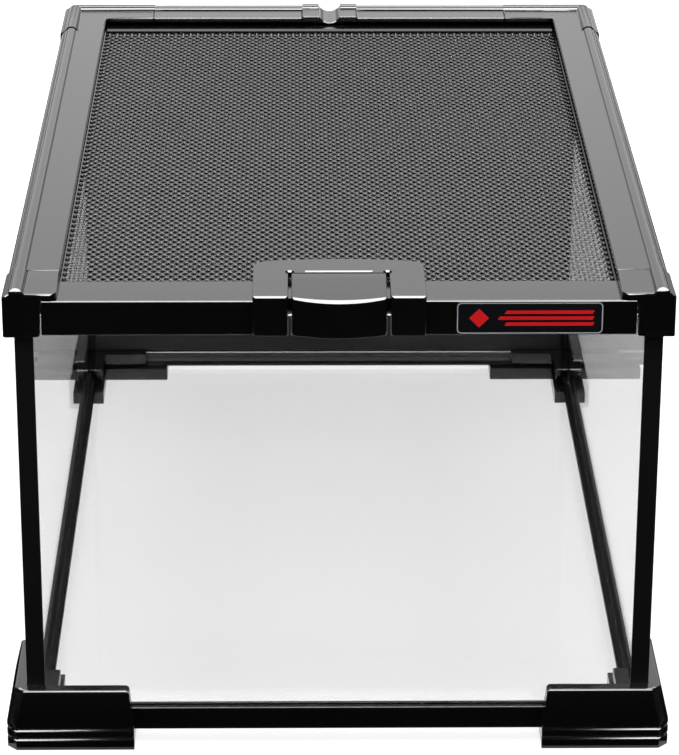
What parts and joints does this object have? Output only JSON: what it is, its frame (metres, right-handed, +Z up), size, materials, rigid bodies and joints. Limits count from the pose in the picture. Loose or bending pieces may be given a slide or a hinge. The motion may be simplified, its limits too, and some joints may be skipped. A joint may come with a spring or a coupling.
{
  "type": "small pet terrarium",
  "caption": "Low glass tank in a black frame on corner feet, with a sliding mesh lid, a sprung front latch and a cable notch at the back.",
  "frame": {"origin": "middle of the footprint, on the plane the feet stand on", "axes": "+X to the object's right as seen from the front, +Y from the latch to the back, +Z up"},
  "size_m": [0.208, 0.314, 0.1537],
  "materials": {
    "glass": "clear float glass, polished",
    "frame_plastic": "satin to gloss black plastic",
    "strip_plastic": "gloss black trim",
    "foot_plastic": "gloss black plastic",
    "screen_metal": "black coated expanded metal",
    "silicone": "black silicone",
    "background_sheet": "dark smooth sheet",
    "badge": "gloss with a thin silver border and a red motif"
  },
  "bodies": {
    "tank": {"background_panel": "background_sheet", "bottom_rail_front": "frame_plastic", "bottom_rail_left": "frame_plastic", "bottom_rail_rear": "frame_plastic", "bottom_rail_right": "frame_plastic", "cable_outlet": "frame_plastic", "corner_brace_front_left": "frame_plastic", "corner_brace_front_right": "frame_plastic", "corner_brace_rear_left": "frame_plastic", "corner_brace_rear_right": "frame_plastic", "corner_seal_front_left": "silicone", "corner_seal_front_right": "silicone", "corner_seal_rear_left": "silicone", "corner_seal_rear_right": "silicone", "corner_strip_front_left": "strip_plastic", "corner_strip_front_right": "strip_plastic", "corner_strip_rear_left": "strip_plastic", "corner_strip_rear_right": "strip_plastic", "floor_seal_front": "silicone", "floor_seal_left": "silicone", "floor_seal_rear": "silicone", "floor_seal_right": "silicone", "foot_front_left": "foot_plastic", "foot_front_right": "foot_plastic", "foot_rear_left": "foot_plastic", "foot_rear_right": "foot_plastic", "glass_floor": "glass", "glass_front": "glass", "glass_left": "glass", "glass_rear": "glass", "glass_right": "glass", "top_corner_front_left": "frame_plastic", "top_corner_front_right": "frame_plastic", "top_corner_rear_left": "frame_plastic", "top_corner_rear_right": "frame_plastic", "top_rail_left": "frame_plastic", "top_rail_rear_left": "frame_plastic", "top_rail_rear_right": "frame_plastic", "top_rail_right": "frame_plastic"},
    "lid": {"lid_front_bar": "frame_plastic", "lid_frame_left": "frame_plastic", "lid_frame_right": "frame_plastic", "lid_frame_rear": "frame_plastic", "lid_screen": "screen_metal", "latch_housing": "frame_plastic", "badge_plate": "badge"},
    "latch": {"latch_tab": "frame_plastic"}
  },
  "joints": [
    {"name": "lid_slide", "type": "slide", "parent": "tank", "child": "lid", "axis": [0, -1, 0], "range_m": [0, 0.255]},
    {"name": "latch_lift", "type": "hinge", "parent": "lid", "child": "latch", "pos_m": [0, -0.1352, 0.1519], "axis": [-1, 0, 0], "range_deg": [0, 12], "stiffness_Nm_per_rad": 0.08}
  ]
}
